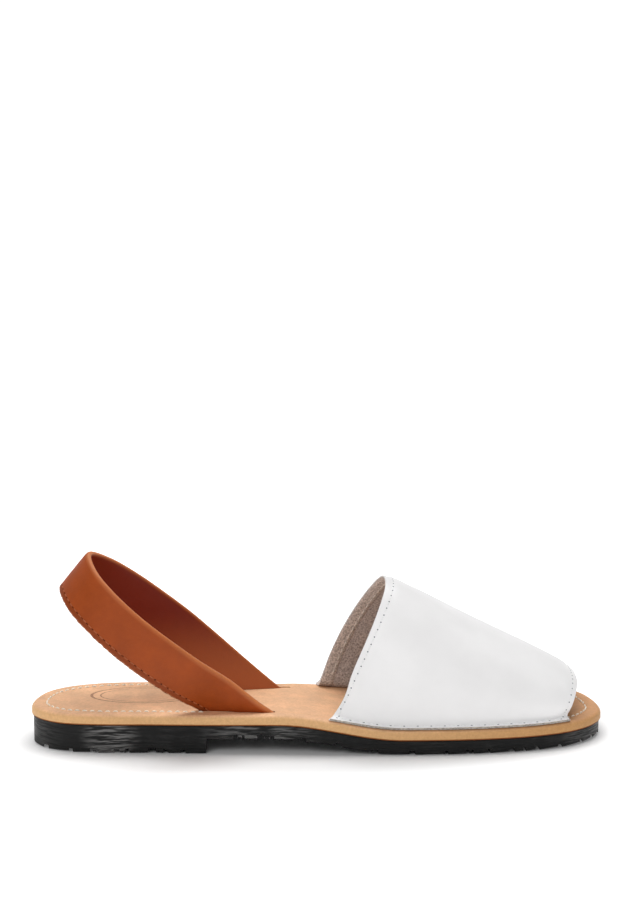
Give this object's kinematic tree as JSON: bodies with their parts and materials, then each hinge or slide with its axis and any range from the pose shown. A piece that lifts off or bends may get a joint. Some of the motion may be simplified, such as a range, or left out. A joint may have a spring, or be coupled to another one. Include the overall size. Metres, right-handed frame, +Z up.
{
  "type": "flat sandal",
  "caption": "Right flat sandal: rubber outsole with low heel, wrapped footbed, wide open-toed upper and a folded heel strap set in slits.",
  "frame": {"origin": "middle of the shoe's length and width, on the floor that the sole stands on", "axes": "+X along the shoe from heel to toe, +Y towards the inner (medial) side of the foot, +Z up"},
  "size_m": [0.2502, 0.0828, 0.0833],
  "materials": {
    "outsole_rubber": "satin",
    "footbed_leather": "satin",
    "upper_leather": "satin",
    "strap_leather": "satin"
  },
  "bodies": {
    "root": {"outsole": "outsole_rubber", "footbed": "footbed_leather", "upper": "upper_leather", "heel_strap": "strap_leather"}
  },
  "joints": []
}
